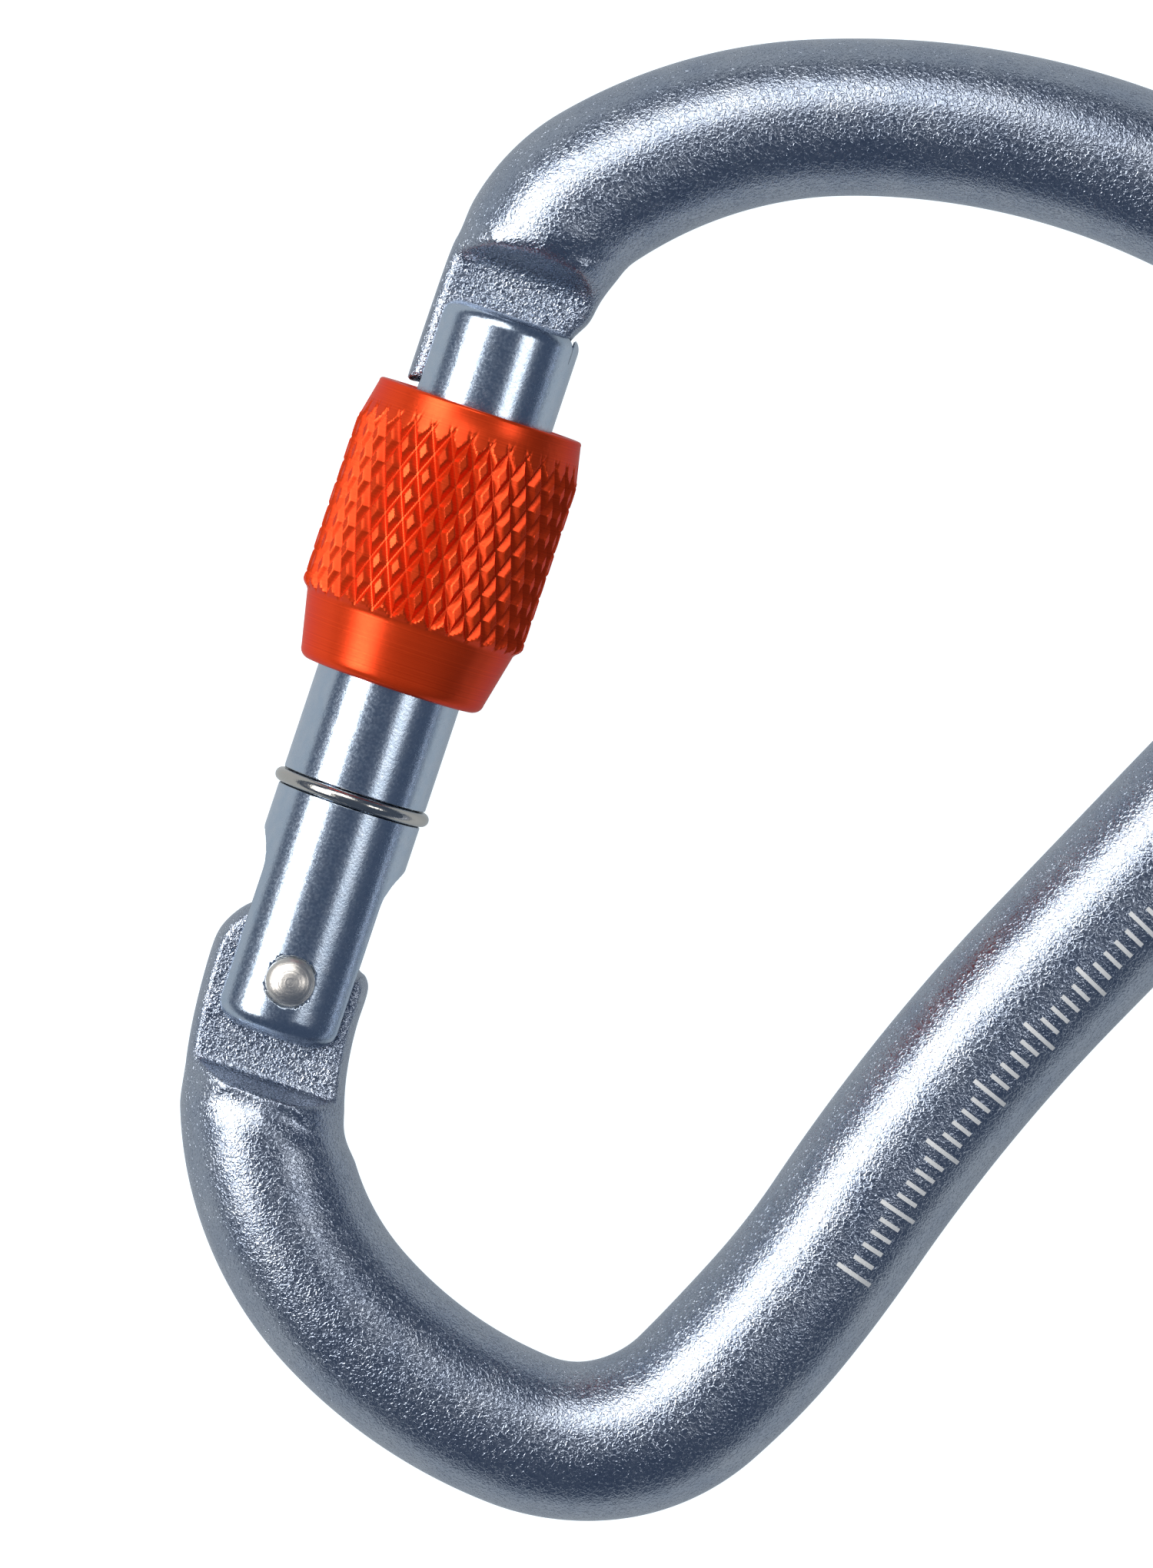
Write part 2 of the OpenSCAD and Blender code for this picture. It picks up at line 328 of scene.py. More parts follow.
def frame_field(points):
    """The bar: round along its centreline, flat at the tongues, with the rivet's bore."""
    across, station = loop_distance(points[:, :2])
    size = bar_radius(station)
    plan = across - size
    u, v, z = points.T
    tongues = []
    for tongue in (HINGE_TONGUE, NOSE_TONGUE):
        ahead = tongue["way"] * (u - tongue["flat_at"])
        near = (ahead > TONGUE_FROM) & (ahead < TONGUE_TO) & (np.abs(v) < TONGUE_SIDE)
        if near.any():
            share = smooth_step(BLEND_FROM, BLEND_TO, ahead[near])
            outline = outline_distance(points[near, :2], tongue["outline"])
            plan[near] = (1 - share) * plan[near] + share * outline
            tongues.append((tongue, near, ahead[near]))
    field = np.hypot(np.maximum(plan + size, 0), z) - size
    for tongue, near, ahead in tongues:
        cut = above_flat(ahead, np.abs(z[near]) - tongue["half"], tongue["lean"], tongue["fillet"])
        field[near] = smooth_max(field[near], -cut, tongue["edge"])
    return np.maximum(field, RIVET_R + RUN_GAP - np.hypot(u, v))


def gate_field(points):
    """The gate: a rounded rod with thread, slot, nose pocket, spring bore, ring groove and rivet seats."""
    u, v, z = points.T
    radius = np.hypot(v, z)
    middle, half_l = (GATE_LOW + GATE_HIGH) / 2, (GATE_HIGH - GATE_LOW) / 2
    turn = np.arctan2(z, v) / (2 * np.pi)
    furrow = THREAD_WAVE * (1 + np.cos(2 * np.pi * (u - LEAD * turn)))
    low, high = THREAD_FROM - THREAD_RUN_OUT, THREAD_TO + THREAD_RUN_OUT
    rise = np.clip(np.minimum(u - low, high - u), 0, THREAD_RUN_OUT)
    body_r = GATE_R + rise - furrow * rise / THREAD_RUN_OUT
    corner = np.where(u < middle, HINGE_CORNER, NOSE_CORNER)
    side, end = radius - body_r + corner, np.abs(u - middle) - half_l + corner
    field = np.hypot(np.maximum(side, 0), np.maximum(end, 0)) + np.minimum(np.maximum(side, end), 0) - corner
    slot = np.hypot(np.maximum(u - SLOT_END, 0), z) - SLOT_R
    field = smooth_max(field, -slot, 0.35)
    floor = POCKET_FLOOR
    for starts_at, length, climb in POCKET_RAMPS:
        floor = floor + climb * np.clip((starts_at - u) / length, 0, 1)
    pocket = np.maximum.reduce([np.abs(z) - NOSE_TONGUE["half"] - SLIDE_GAP, POCKET_FROM - u, floor - v])
    field = smooth_max(field, -pocket, 0.25)
    field = np.maximum(field, -np.maximum(radius - BORE_R, u - BORE_END))
    field = smooth_max(field, RING_WIRE_R + RUN_GAP - np.hypot(radius - GROOVE_R, u - RING_AT), 0.05)
    seat = np.maximum(np.hypot(u, v) - HEAD_R - HEAD_GAP, HEAD_BASE - np.abs(z))
    field = smooth_max(field, -seat, 0.08)
    return np.maximum(field, RIVET_R - np.hypot(u, v))


def gradient(field, points, step=0.012):
    """The field's slope at points, from a small step to either side."""
    slopes = []
    for axis in range(3):
        nudge = np.zeros(3)
        nudge[axis] = step
        slopes.append((field(points + nudge) - field(points - nudge)) / (2 * step))
    return np.column_stack(slopes)


def contour(field, low, high, cell):
    """Vertices, quads and normals of the surface where field is zero: a surface net, pulled onto it.

    Coarse blocks of cells show where the surface may be, and only those are worked out cell by cell.
    """
    low, block = np.array(low, float), 4
    blocks = np.ceil((np.array(high, float) - low) / (cell * block)).astype(int)
    centres = np.stack(np.meshgrid(*[np.arange(n) for n in blocks], indexing="ij"), -1)
    flat = centres.reshape(-1, 3)
    coarse = field(low + (flat + 0.5) * cell * block)
    values = np.sign(coarse).reshape(blocks).astype(np.float32) * cell
    for axis in range(3):
        values = np.repeat(values, block, axis)
    active = flat[np.abs(coarse) < cell * block * 1.2]
    offsets = np.stack(np.meshgrid(*[np.arange(block)] * 3, indexing="ij"), -1).reshape(-1, 3)
    corners = (active[:, None] * block + offsets).reshape(-1, 3)
    for part in np.array_split(corners, max(1, len(corners) // 400000)):
        values[tuple(part.T)] = field(low + part * cell)
    inside = values < 0
    shape = np.array(values.shape) - 1
    count = np.zeros(shape, np.uint8)
    cube = [(i, j, k) for i in (0, 1) for j in (0, 1) for k in (0, 1)]
    for i, j, k in cube:
        count += inside[i : i + shape[0], j : j + shape[1], k : k + shape[2]]
    cells = np.argwhere((count > 0) & (count < 8))
    number = np.full(shape, -1, np.int32)
    number[tuple(cells.T)] = np.arange(len(cells))
    total, hits = np.zeros((len(cells), 3)), np.zeros(len(cells))
    for a in cube:
        for b in cube:
            if sum(b) - sum(a) == 1 and sum(abs(x - y) for x, y in zip(a, b)) == 1:
                low_value = values[tuple((cells + a).T)].astype(float)
                high_value = values[tuple((cells + b).T)].astype(float)
                crossed = (low_value < 0) != (high_value < 0)
                part = np.where(crossed, low_value / np.where(crossed, low_value - high_value, 1), 0)
                total += crossed[:, None] * (np.array(a) + part[:, None] * (np.array(b) - a))
                hits += crossed
    points = low + (cells + total / hits[:, None]) * cell
    quads = []
    for axis in range(3):
        second, third = (axis + 1) % 3, (axis + 2) % 3
        here = np.take(inside, range(shape[axis]), axis)
        there = np.take(inside, range(1, shape[axis] + 1), axis)
        edges = np.argwhere(here != there)
        edges = edges[((edges > 0) | (np.arange(3) == axis)).all(1) & (edges < shape).all(1)]
        back_j, back_k = np.eye(3, dtype=int)[second], np.eye(3, dtype=int)[third]
        ring = [number[tuple((edges - s).T)] for s in (back_j + back_k, back_k, 0 * back_k, back_j)]
        ring = np.column_stack(ring)
        outward = inside[tuple(edges.T)]
        quads.append(np.where(outward[:, None], ring, ring[:, ::-1]))
    quads = np.concatenate(quads)
    for _ in range(3):
        slope = gradient(field, points)
        steep = np.maximum((slope**2).sum(1), 0.05)
        move = (field(points) / steep)[:, None] * slope
        length = np.linalg.norm(move, axis=1, keepdims=True)
        points = points - move * np.minimum(1, 0.5 * cell / np.maximum(length, 1e-9))
    slope = gradient(field, points)
    return points, quads, slope / np.maximum(np.linalg.norm(slope, axis=1, keepdims=True), 1e-9)


# ---------------------------------------------------------------- meshes

def make_piece(name, points, faces, normals=None, sharp=None):
    """A mesh object from points in the gate's frame. normals are its own; sharp is an edge angle."""
    mesh = bpy.data.meshes.new(name)
    mesh.from_pydata(to_row(points).tolist(), [], [list(face) for face in faces])
    mesh.polygons.foreach_set("use_smooth", [True] * len(mesh.polygons))
    if normals is not None:
        mesh.normals_split_custom_set_from_vertices((normals @ TO_ROW.T).tolist())
    if sharp is not None:
        mesh.set_sharp_from_angle(angle=math.radians(sharp))
    mesh.update()
    piece = bpy.data.objects.new(name, mesh)
    bpy.context.scene.collection.objects.link(piece)
    return piece


def contoured(name, field, low, high, cell):
    points, quads, normals = contour(field, low, high, cell)
    return make_piece(name, points, quads.tolist(), normals=normals)


def grid_faces(rows, sides, start=0, closed=False):
    """Quads between rings of points; closed joins the last ring to the first."""
    faces = []
    for i in range(rows if closed else rows - 1):
        after = (i + 1) % rows
        for j in range(sides):
            k = (j + 1) % sides
            ring = (i * sides + j, i * sides + k, after * sides + k, after * sides + j)
            faces.append([start + corner for corner in ring])
    return faces


def capped_sweep(rings):
    """Points and faces of a closed solid through rings of points, each a list of equal length."""
    sides = len(rings[0])
    faces = grid_faces(len(rings), sides)
    faces.append(list(range(sides))[::-1])
    faces.append([(len(rings) - 1) * sides + j for j in range(sides)])
    return [point for ring in rings for point in ring], faces


def turned(profile, sides, about="gate"):
    """Rings for a profile of (position along the axis, radius) turned about the gate or the rivet."""
    rings = []
    for at, radius in profile:
        ring = []
        for j in range(sides):
            angle = 2 * math.pi * j / sides
            a, b = radius * math.cos(angle), radius * math.sin(angle)
            ring.append((at, a, b) if about == "gate" else (a, b, at))
        rings.append(ring)
    return rings


def arc(centre, radius, start, end, count):
    """Points of an arc in a profile's plane, angles in degrees."""
    angles = np.radians(np.linspace(start, end, count))
    return [(centre[0] + radius * math.cos(a), centre[1] + radius * math.sin(a)) for a in angles]


def wire(path, radius, sides, blunt=False):
    """A round wire along a path of points."""
    path = np.array(path, float)
    ahead = np.gradient(path, axis=0)
    ahead /= np.linalg.norm(ahead, axis=1, keepdims=True)
    side = np.cross(ahead, [1.0, 0.0, 0.0])
    side /= np.linalg.norm(side, axis=1, keepdims=True)
    up = np.cross(side, ahead)
    sizes = np.full(len(path), radius)
    if blunt:
        sizes[[0, -1]] = radius * 0.75
    rings = []
    for at, s, t, size in zip(path, side, up, sizes):
        angles = [2 * math.pi * j / sides for j in range(sides)]
        rings.append([tuple(at + size * (math.cos(a) * s + math.sin(a) * t)) for a in angles])
    return capped_sweep(rings)


# ---------------------------------------------------------------- materials

def shader(name, color, metallic, roughness):
    material = bpy.data.materials.new(name)
    material.use_nodes = True
    nodes, links = material.node_tree.nodes, material.node_tree.links
    surface = nodes["Principled BSDF"]
    surface.inputs["Base Color"].default_value = (*color, 1)
    surface.inputs["Metallic"].default_value = metallic
    surface.inputs["Roughness"].default_value = roughness
    place = nodes.new("ShaderNodeTexCoord")
    scale = nodes.new("ShaderNodeVectorMath")
    scale.operation = "SCALE"
    scale.inputs["Scale"].default_value = 1 / MM
    links.new(place.outputs["Object"], scale.inputs[0])
    return material, nodes, links, surface, scale.outputs["Vector"]


def add_noise(nodes, links, where, per_mm, detail=2.0, distortion=0.0):
    noise = nodes.new("ShaderNodeTexNoise")
    noise.inputs["Scale"].default_value = per_mm
    noise.inputs["Detail"].default_value = detail
    noise.inputs["Distortion"].default_value = distortion
    links.new(where, noise.inputs["Vector"])
    return noise.outputs["Fac"]


def add_ramp(nodes, links, value, stops):
    ramp = nodes.new("ShaderNodeValToRGB")
    while len(ramp.color_ramp.elements) < len(stops):
        ramp.color_ramp.elements.new(0.5)
    for element, (at, color) in zip(ramp.color_ramp.elements, stops):
        element.position = at
        element.color = (*color, 1)
    links.new(value, ramp.inputs["Fac"])
    return ramp.outputs["Color"]


def add_bump(nodes, links, height, distance_mm, below=None):
    bump = nodes.new("ShaderNodeBump")
    bump.inputs["Strength"].default_value = 1.0
    bump.inputs["Distance"].default_value = distance_mm * MM
    links.new(height, bump.inputs["Height"])
    if below is not None:
        links.new(below, bump.inputs["Normal"])
    return bump.outputs["Normal"]


def grey(value):
    return (value, value, value)


def bar_material():
    """Satin anodising over blasted metal: a fine worm-like grain, deeper on the milled flats."""
    material, nodes, links, surface, where = shader("bar_anodised", (0.33, 0.39, 0.50), 1.0, 0.3)
    grain = add_noise(nodes, links, where, 3.6, 1.0, 1.1)
    ridges = add_ramp(nodes, links, grain, [(0.36, grey(0)), (0.64, grey(1))])
    fine = add_noise(nodes, links, where, 11.0, 1.0)
    # The grain has its full depth up to the first height from the middle plane, and half past the second.
    height = nodes.new("ShaderNodeSeparateXYZ")
    links.new(where, height.inputs["Vector"])
    away = nodes.new("ShaderNodeMath")
    away.operation = "ABSOLUTE"
    links.new(height.outputs["Z"], away.inputs[0])
    strength = nodes.new("ShaderNodeMapRange")
    strength.inputs["From Min"].default_value = 2.6
    strength.inputs["From Max"].default_value = 3.6
    strength.inputs["To Min"].default_value = 1.0
    strength.inputs["To Max"].default_value = 0.5
    links.new(away.outputs["Value"], strength.inputs["Value"])
    relief = nodes.new("ShaderNodeMath")
    relief.operation = "MULTIPLY"
    links.new(ridges, relief.inputs[0])
    links.new(strength.outputs["Result"], relief.inputs[1])
    normal = add_bump(nodes, links, relief.outputs["Value"], 0.044)
    normal = add_bump(nodes, links, fine, 0.008, below=normal)
    links.new(normal, surface.inputs["Normal"])
    tint = add_noise(nodes, links, where, 0.35, 2.0)
    color = add_ramp(nodes, links, tint, [(0.3, (0.38, 0.43, 0.52)), (0.7, (0.46, 0.50, 0.57))])
    links.new(color, surface.inputs["Base Color"])
    wear = add_ramp(nodes, links, grain, [(0.35, grey(0.30)), (0.65, grey(0.22))])
    links.new(wear, surface.inputs["Roughness"])
    return material


def gate_material():
    """Polished anodising with tiny pits that sparkle."""
    material, nodes, links, surface, where = shader("gate_anodised", (0.54, 0.62, 0.72), 1.0, 0.14)
    pits = add_noise(nodes, links, where, 5.5, 2.0, 0.3)
    drawn = add_noise(nodes, links, where, 1.3, 2.0)
    normal = add_bump(nodes, links, pits, 0.006)
    normal = add_bump(nodes, links, drawn, 0.004, below=normal)
    links.new(normal, surface.inputs["Normal"])
    rough = add_ramp(nodes, links, pits, [(0.35, grey(0.19)), (0.7, grey(0.28))])
    links.new(rough, surface.inputs["Roughness"])
    color = add_ramp(nodes, links, drawn, [(0.3, (0.51, 0.60, 0.71)), (0.7, (0.57, 0.64, 0.73))])
    links.new(color, surface.inputs["Base Color"])
    return material


def sleeve_material():
    """Orange-red anodising on turned metal: fine lines round the sleeve."""
    material, nodes, links, surface, where = shader("sleeve_anodised", (0.86, 0.03, 0.005), 0.62, 0.3)
    surface.inputs["Specular Tint"].default_value = (1.0, 0.32, 0.18, 1)
    surface.inputs["Coat Weight"].default_value = 0.14
    surface.inputs["Coat Roughness"].default_value = 0.3
    along = nodes.new("ShaderNodeVectorMath")
    along.operation = "DOT_PRODUCT"
    along.inputs[1].default_value = tuple(ALONG)
    links.new(where, along.inputs[0])
    lines = nodes.new("ShaderNodeTexNoise")
    lines.noise_dimensions = "1D"
    lines.inputs["Scale"].default_value = 9.0
    lines.inputs["Detail"].default_value = 3.0
    links.new(along.outputs["Value"], lines.inputs["W"])
    specks = add_noise(nodes, links, where, 6.0, 2.0)
    normal = add_bump(nodes, links, lines.outputs["Fac"], 0.004)
    normal = add_bump(nodes, links, specks, 0.002, below=normal)
    links.new(normal, surface.inputs["Normal"])
    rough = add_ramp(nodes, links, specks, [(0.3, grey(0.28)), (0.7, grey(0.35))])
    links.new(rough, surface.inputs["Roughness"])
    shades = [(0.3, (0.80, 0.050, 0.007)), (0.7, (0.92, 0.070, 0.011))]
    color = add_ramp(nodes, links, lines.outputs["Fac"], shades)
    links.new(color, surface.inputs["Base Color"])
    return material


def steel_material(name, color, roughness, ringed=False):
    """Turned or drawn stainless steel. ringed gives it turning marks about the rivet."""
    material, nodes, links, surface, where = shader(name, color, 1.0, roughness)
    if ringed:
        centre = nodes.new("ShaderNodeVectorMath")
        centre.operation = "SUBTRACT"
        centre.inputs[1].default_value = tuple(RIVET)
        links.new(where, centre.inputs[0])
        flat = nodes.new("ShaderNodeVectorMath")
        flat.operation = "MULTIPLY"
        flat.inputs[1].default_value = (1, 1, 0)
        links.new(centre.outputs["Vector"], flat.inputs[0])
        reach = nodes.new("ShaderNodeVectorMath")
        reach.operation = "LENGTH"
        links.new(flat.outputs["Vector"], reach.inputs[0])
        rings = nodes.new("ShaderNodeTexNoise")
        rings.noise_dimensions = "1D"
        rings.inputs["Scale"].default_value = 4.5
        rings.inputs["Detail"].default_value = 2.0
        links.new(reach.outputs["Value"], rings.inputs["W"])
        marks = rings.outputs["Fac"]
    else:
        marks = add_noise(nodes, links, where, 4.0, 3.0)
    normal = add_bump(nodes, links, marks, 0.03 if ringed else 0.005)
    fine = add_noise(nodes, links, where, 9.0, 2.0)
    normal = add_bump(nodes, links, fine, 0.006, below=normal)
    links.new(normal, surface.inputs["Normal"])
    rough = add_ramp(nodes, links, fine, [(0.3, grey(roughness - 0.05)), (0.7, grey(roughness + 0.07))])
    links.new(rough, surface.inputs["Roughness"])
    return material


def mark_material():
    """Etched marks: pale and matt, with a faint fleck."""
    material, nodes, links, surface, where = shader("etched_mark", (0.8, 0.79, 0.75), 0.0, 0.7)
    fleck = add_noise(nodes, links, where, 6.0, 2.0)
    color = add_ramp(nodes, links, fleck, [(0.3, (0.84, 0.83, 0.79)), (0.7, (0.95, 0.94, 0.90))])
    links.new(color, surface.inputs["Base Color"])
    links.new(add_bump(nodes, links, fleck, 0.01), surface.inputs["Normal"])
    return material


# ---------------------------------------------------------------- the pieces

def finish_piece(piece, body, node, material):
    """Give a piece its material, its body, the CAD node that it replaces, if any."""
    piece.data.materials.append(material)
    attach(piece, body)
    if node:
        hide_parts(node)


def frame_box():
    """The CAD bar's box in the gate's frame, with a little room round it."""
    room = 1.2
    corners = np.array([vertex.co for vertex in frame["nodes"]["frame_bar"].data.vertices])
    inner = (corners / MM - RIVET) @ TO_ROW
    return inner.min(0) - room, inner.max(0) + room


def add_bar():
    low, high = frame_box()
    piece = contoured("bar", frame_field, low, high, 0.3)
    finish_piece(piece, "frame", "frame_bar", bar_material())


def add_gate():
    room, side = 0.7, 6.9
    low, high = (GATE_LOW - room, -side, -side), (GATE_HIGH + room, side, side)
    piece = contoured("gate_tube", gate_field, low, high, 0.19)
    finish_piece(piece, "gate", "gate", gate_material())


# The sleeve, with positions from its lower face. Its knurl is two crossing sets of V grooves.
STARTS = 34
KNURL_LEAD = 3.4
KNURL_DEPTH = 0.42
KNURL_HALF = 0.3
KNURL_FLAT = 0.03
KNURL_FROM = 3.4
KNURL_TO = 19.6
GRIP_R = 8.35
SHOULDER_R = 8.2
CONE_ANGLE = 12.5
CONE_FROM = 0.8
CONE_TO = 4.85
CONE_R = 6.95
BORE_EDGE_R = 6.5
SLEEVE_BORE_R = 6.3
THREAD_BORE_R = 6.03
LIP_R = 5.5


def groove(phase):
    """Depth share of a V groove at each whole number of phase."""
    away = np.abs(phase - np.round(phase))
    return np.clip((KNURL_HALF - away) / (KNURL_HALF - KNURL_FLAT), 0, 1)


def sleeve_rings():
    """Rings of the sleeve, up the outside and back down the bore."""
    steps = 20
    theta = 2 * np.pi * np.arange(STARTS * steps) / (STARTS * steps)
    cone_end = CONE_R + (CONE_TO - CONE_FROM) * math.tan(math.radians(CONE_ANGLE))
    profile = arc((CONE_FROM, CONE_R - 0.8), 0.8, 180, 90, 7)
    profile += [(CONE_TO, cone_end), (5.15, SHOULDER_R), (5.4, GRIP_R)]
    profile += [(17.85, GRIP_R), (18.15, SHOULDER_R), (20.7, 7.66)]
    profile += arc((20.75, 7.42), 0.25, 90, 0, 5)
    ats, radii = zip(*profile)
    plain = [at for at in ats if at < KNURL_FROM or at > KNURL_TO]
    knurled = list(np.arange(KNURL_FROM, KNURL_TO, KNURL_LEAD / steps))
    rings = []
    for at in sorted(plain + knurled):
        phase = STARTS * theta / (2 * np.pi)
        depth = np.maximum(groove(phase + at / KNURL_LEAD), groove(phase - at / KNURL_LEAD))
        radius = np.minimum(np.interp(at, ats, radii), GRIP_R - KNURL_DEPTH * depth)
        rings.append([(at, r * math.cos(t), r * math.sin(t)) for r, t in zip(radius, theta)])
    bore = [(21.0, BORE_EDGE_R), (20.85, SLEEVE_BORE_R), (17.0, SLEEVE_BORE_R)]
    bore += [(16.6, THREAD_BORE_R), (7.4, THREAD_BORE_R), (7.0, SLEEVE_BORE_R), (1.2, SLEEVE_BORE_R)]
    bore += [(0.9, LIP_R + 0.1), (0.75, LIP_R), (0.15, LIP_R), (0.0, LIP_R + 0.15)]
    for at, radius in bore:
        rings.append([(at, radius * math.cos(t), radius * math.sin(t)) for t in theta])
    return rings


def add_sleeve():
    rings = sleeve_rings()
    points = np.array([point for ring in rings for point in ring])
    points[:, 0] += SLEEVE_LOW
    faces = grid_faces(len(rings), len(rings[0]), closed=True)
    piece = make_piece("knurled_sleeve", points, faces, sharp=24)
    finish_piece(piece, "sleeve", "locking_sleeve", sleeve_material())


def add_rivet():
    shares = np.sin(np.linspace(0.5 * math.pi, 0.02, 24))
    dome = [(HEAD_BASE + HEAD_H * (1 - share**2.4) ** 0.62, HEAD_R * share) for share in shares]
    half = [(HEAD_BASE - 0.6, RIVET_R), (HEAD_BASE - 0.05, RIVET_R), (HEAD_BASE, HEAD_R - 0.05)] + dome
    profile = [(-at, radius) for at, radius in half[::-1]] + half
    points, faces = capped_sweep(turned(profile, 96, about="rivet"))
    piece = make_piece("rivet_pin", points, faces, sharp=35)
    steel = steel_material("rivet_steel", (0.84, 0.78, 0.70), 0.36, ringed=True)
    finish_piece(piece, "gate", "hinge_rivet", steel)


def add_ring():
    """The wire ring, split on the side that lies away from the camera."""
    gap = 12
    angles = np.radians(np.linspace(gap / 2, 360 - gap / 2, 150))
    path = [(RING_AT, GROOVE_R * math.sin(a), -GROOVE_R * math.cos(a)) for a in angles]
    points, faces = wire(path, RING_WIRE_R, 24, blunt=True)
    piece = make_piece("wire_ring", points, faces, sharp=40)
    steel = steel_material("ring_steel", (0.60, 0.57, 0.52), 0.16)
    finish_piece(piece, "ring", "stop_ring", steel)


def add_spring():
    """The coil spring, with its turns closer together at both ends."""
    wire_r, turns, steps = 0.27, 8, 28
    side_gap, crowding = 0.08, 0.035
    low, high = span("gate_spring")
    coil_r = BORE_R - RUN_GAP - wire_r - side_gap
    path = []
    for i in range(steps * turns + 1):
        part = i / (steps * turns)
        rise = part - crowding * math.sin(2 * math.pi * part)
        angle = 2 * math.pi * turns * part
        at = low + wire_r + rise * (high - low - 2 * wire_r)
        path.append((at, coil_r * math.cos(angle), coil_r * math.sin(angle)))
    points, faces = wire(path, wire_r, 12)
    piece = make_piece("coil_spring", points, faces, sharp=40)
    steel = steel_material("wire_steel", (0.55, 0.55, 0.56), 0.2)
    finish_piece(piece, "gate", "gate_spring", steel)
    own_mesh(piece)


def add_plunger():
    """The plunger: a ball nose, a rod in the gate's bore, and a spigot inside the spring."""
    high = span("spring_plunger")[1]
    ball = BORE_R - RUN_GAP
    shoulder, spigot = 13.0, 1.1
    edge, tip_edge = 0.15, 0.2
    nose = [
        (BALL_AT - ball * math.cos(math.radians(a)), ball * math.sin(math.radians(a)))
        for a in np.linspace(1, 90, 20)
    ]
    profile = nose + [(shoulder - edge, ball), (shoulder, ball - edge), (shoulder, spigot)]
    profile += [(high - tip_edge, spigot), (high, spigot - tip_edge)]
    points, faces = capped_sweep(turned(profile, 64))
    piece = make_piece("plunger_pin", points, faces, sharp=35)
    steel = steel_material("plunger_steel", (0.4, 0.4, 0.41), 0.22)
    finish_piece(piece, "plunger", "spring_plunger", steel)


# ---------------------------------------------------------------- the etched marks

# A plain row of ticks along the bar, with no letter, number or symbol in it
TICKS_FROM = 69.4
TICK_STEP = 1.1
TICK_COUNT = 34
LONG_EVERY = 5
LONG_HALF = 1.6
SHORT_HALF = 0.9
TICK_WIDTH = 0.32
TICK_PIECE = 0.25       # a tick follows the bar's surface in pieces of about this length
MARKS_OUT = 2.35        # the row lies this far out from the bar's crest, round its surface
MARK_LIFT = 0.014       # a tick's top is this far above the bar's surface,
MARK_SUNK = -0.03       # and its underside this far below


def on_bar(along, out, lift):
    """A point on the bar's upper side: along it, out from its crest round the surface, and lifted."""
    centre, heading = bar_place(along)
    radius = float(bar_radius(along))
    angle = out / radius
    left = heading_vector(heading + 90)
    side = -(radius + lift) * math.sin(angle) * left
    return (centre[0] + side[0], centre[1] + side[1], (radius + lift) * math.cos(angle))


def tick(at, half):
    """A thin closed strip, laid on the bar across the row."""
    count = int(2 * half / TICK_PIECE)
    near, far = at - TICK_WIDTH / 2, at + TICK_WIDTH / 2
    rings = []
    for out in MARKS_OUT + np.linspace(half, -half, count + 1):
        rings.append([
            on_bar(near, out, MARK_SUNK), on_bar(near, out, MARK_LIFT),
            on_bar(far, out, MARK_LIFT), on_bar(far, out, MARK_SUNK),
        ])
    return capped_sweep(rings)


def add_marks():
    points, faces = [], []
    for index in range(TICK_COUNT):
        half = SHORT_HALF if index % LONG_EVERY else LONG_HALF
        more_points, more_faces = tick(TICKS_FROM + index * TICK_STEP, half)
        faces += [[corner + len(points) for corner in face] for face in more_faces]
        points += more_points
    piece = make_piece("etched_ticks", points, faces, sharp=30)
    finish_piece(piece, "frame", None, mark_material())


# ---------------------------------------------------------------- stage, light and camera

PICTURE_TURN = 37.3             # the picture's right is this many degrees round from +X
PICTURE_MIDDLE = (20.6, 14.0)   # the picture's middle from the rivet, right and up, in millimetres
CAMERA_FOOT = (18.0, 54.0)      # the point of the plane that the camera stands over, the same way
CAMERA_HEIGHT = 0.85            # metres
PICTURE_MM = 113.333            # how many millimetres of the plane the picture's height takes in
SENSOR_MM = 36
SOFTBOX_AWAY = 0.8              # metres from the object's middle
FLOOR_REACH = 6.0               # metres
FLOOR_BELOW = 0.0002


def picture_vector(right, up):
    """A flat vector, given along the picture's right and up."""
    turn = math.radians(PICTURE_TURN)
    x = right * math.cos(turn) - up * math.sin(turn)
    y = right * math.sin(turn) + up * math.cos(turn)
    return Vector((x, y, 0))


def add_camera():
    """A camera nearly straight above, aimed at the picture's middle."""
    middle = Vector(RIVET * MM) + picture_vector(*PICTURE_MIDDLE) * MM
    foot = Vector(RIVET * MM) + picture_vector(*CAMERA_FOOT) * MM
    place = foot + Vector((0, 0, CAMERA_HEIGHT))
    data = bpy.data.cameras.new("camera")
    camera = bpy.data.objects.new("camera", data)
    bpy.context.scene.collection.objects.link(camera)
    back = (place - middle).normalized()
    up = picture_vector(0, 1)
    right = up.cross(back).normalized()
    up = back.cross(right)
    turn = Matrix((right, up, back)).transposed().to_4x4()
    camera.matrix_world = Matrix.Translation(place) @ turn
    data.sensor_width = SENSOR_MM
    data.lens = SENSOR_MM * (place - middle).length / (PICTURE_MM * MM)
    data.clip_start, data.clip_end = 0.05, 20
    bpy.context.scene.camera = camera


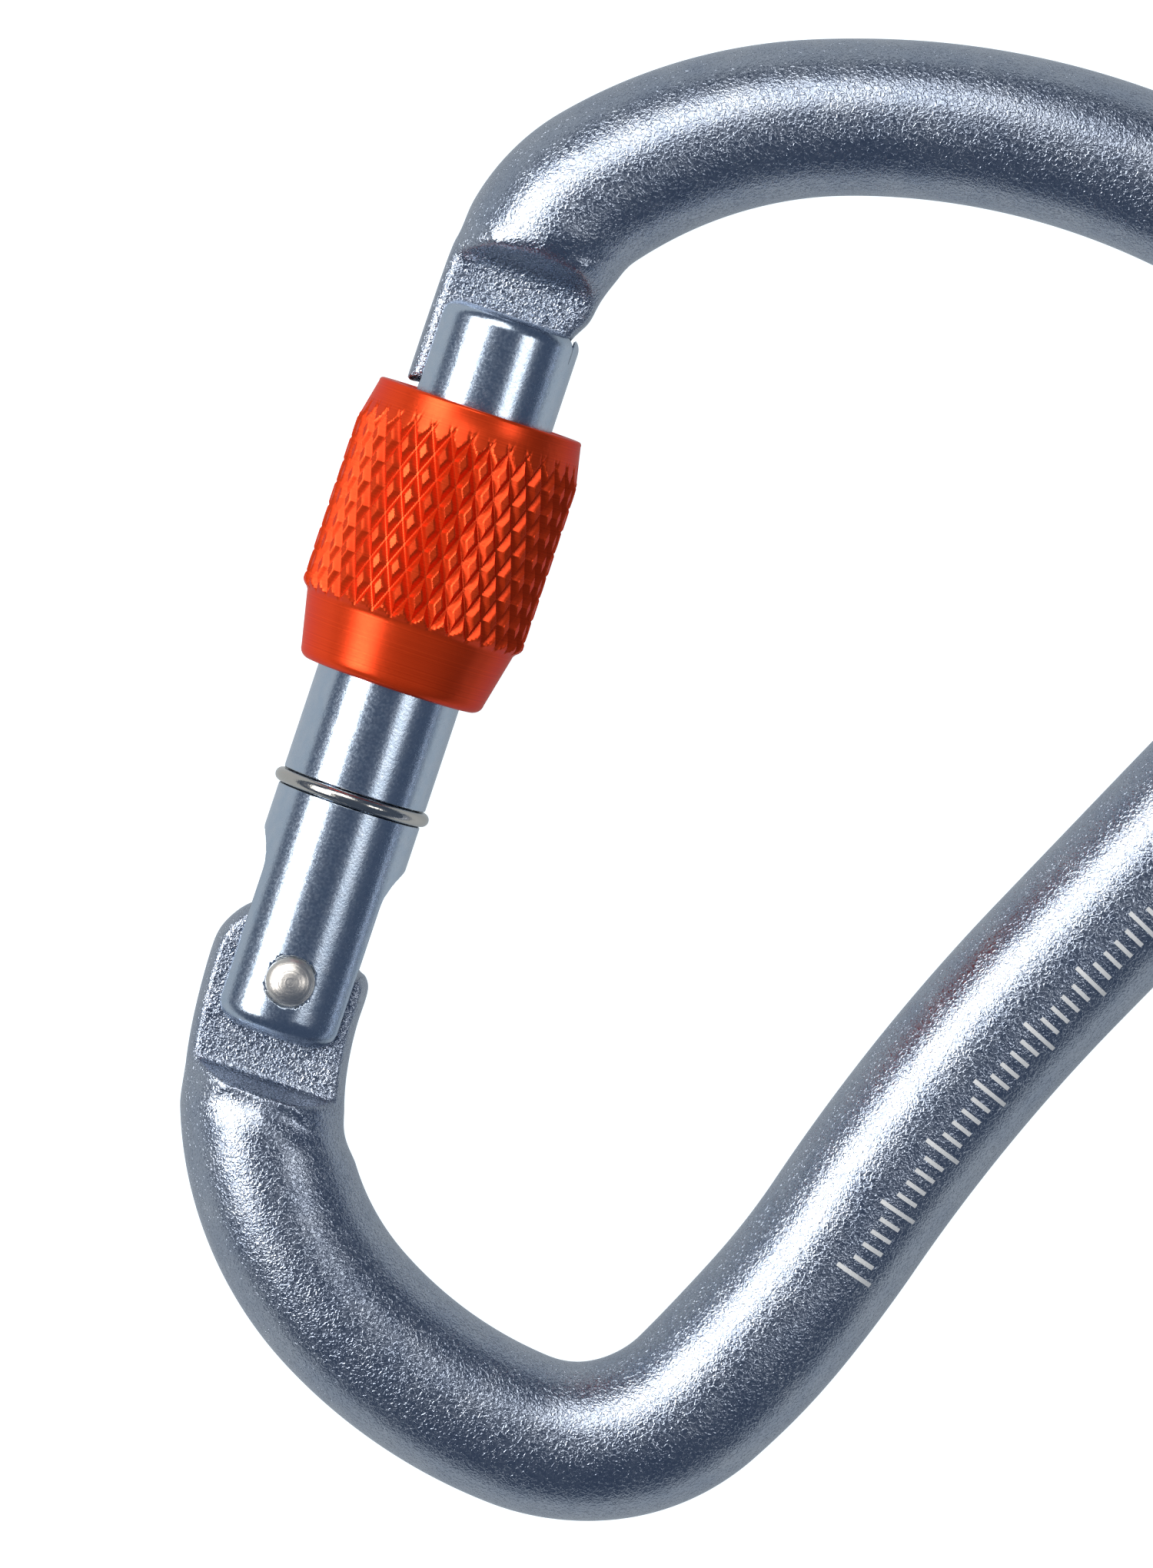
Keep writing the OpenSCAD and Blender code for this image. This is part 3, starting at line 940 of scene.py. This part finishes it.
def add_softbox(name, polar, azimuth, depth, breadth, radiance):
    """An area light that faces the object. Azimuth is from the picture's right, polar from straight up.

    Its depth reaches down from the zenith and its breadth goes round the object.
    """
    across = picture_vector(math.cos(math.radians(azimuth)), math.sin(math.radians(azimuth)))
    way = across * math.sin(math.radians(polar)) + Vector((0, 0, math.cos(math.radians(polar))))
    around = Vector((-across.y, across.x, 0))
    down = around.cross(way)
    data = bpy.data.lights.new(name, "AREA")
    data.shape = "RECTANGLE"
    data.size, data.size_y = depth, breadth
    data.energy = radiance * math.pi * depth * breadth
    light = bpy.data.objects.new(name, data)
    place = Matrix.Translation((cad_low + cad_high) / 2 + way * SOFTBOX_AWAY)
    light.matrix_world = place @ Matrix((down, around, way)).transposed().to_4x4()
    light.visible_camera = False
    bpy.context.scene.collection.objects.link(light)


def add_floor():
    """A pale floor just under the object. The camera sees it brighter than the metal reflects it."""
    mesh = bpy.data.meshes.new("floor")
    size, low = FLOOR_REACH, cad_low.z - FLOOR_BELOW
    corners = [(-size, -size, low), (size, -size, low), (size, size, low), (-size, size, low)]
    mesh.from_pydata(corners, [], [(0, 1, 2, 3)])
    floor = bpy.data.objects.new("floor", mesh)
    bpy.context.scene.collection.objects.link(floor)
    material, nodes, links, surface, _ = shader("pale_floor", grey(0.16), 0.0, 0.6)
    surface.inputs["Emission Color"].default_value = (0.86, 0.94, 1.0, 1)
    surface.inputs["Specular IOR Level"].default_value = 0.0
    seen = nodes.new("ShaderNodeLightPath")
    glow = nodes.new("ShaderNodeMapRange")
    glow.inputs["To Min"].default_value = 0.42
    glow.inputs["To Max"].default_value = 1.2
    links.new(seen.outputs["Is Camera Ray"], glow.inputs["Value"])
    links.new(glow.outputs["Result"], surface.inputs["Emission Strength"])
    mesh.materials.append(material)


def add_world():
    """Pale to the camera, dark blue-grey to what the metal reflects."""
    world = bpy.data.worlds.new("studio")
    world.use_nodes = True
    nodes, links = world.node_tree.nodes, world.node_tree.links
    nodes.clear()
    seen = nodes.new("ShaderNodeLightPath")
    pale, dark = nodes.new("ShaderNodeBackground"), nodes.new("ShaderNodeBackground")
    pale.inputs["Color"].default_value = (0.97, 0.97, 0.97, 1)
    dark.inputs["Color"].default_value = (0.065, 0.09, 0.14, 1)
    mix, out = nodes.new("ShaderNodeMixShader"), nodes.new("ShaderNodeOutputWorld")
    links.new(seen.outputs["Is Camera Ray"], mix.inputs["Fac"])
    links.new(dark.outputs["Background"], mix.inputs[1])
    links.new(pale.outputs["Background"], mix.inputs[2])
    links.new(mix.outputs["Shader"], out.inputs["Surface"])
    bpy.context.scene.world = world


bpy.context.scene.view_settings.view_transform = "Standard"
bpy.context.scene.view_settings.look = "None"
add_camera()
add_floor()
add_world()
add_softbox("key_softbox", polar=47, azimuth=163, depth=0.38, breadth=0.86, radiance=6.5)
add_softbox("side_softbox", polar=35, azimuth=-8, depth=0.26, breadth=0.26, radiance=3.0)
add_softbox("top_softbox", polar=40, azimuth=98, depth=0.48, breadth=0.44, radiance=2.7)
add_bar()
add_gate()
add_sleeve()
add_rivet()
add_ring()
add_spring()
add_plunger()
add_marks()
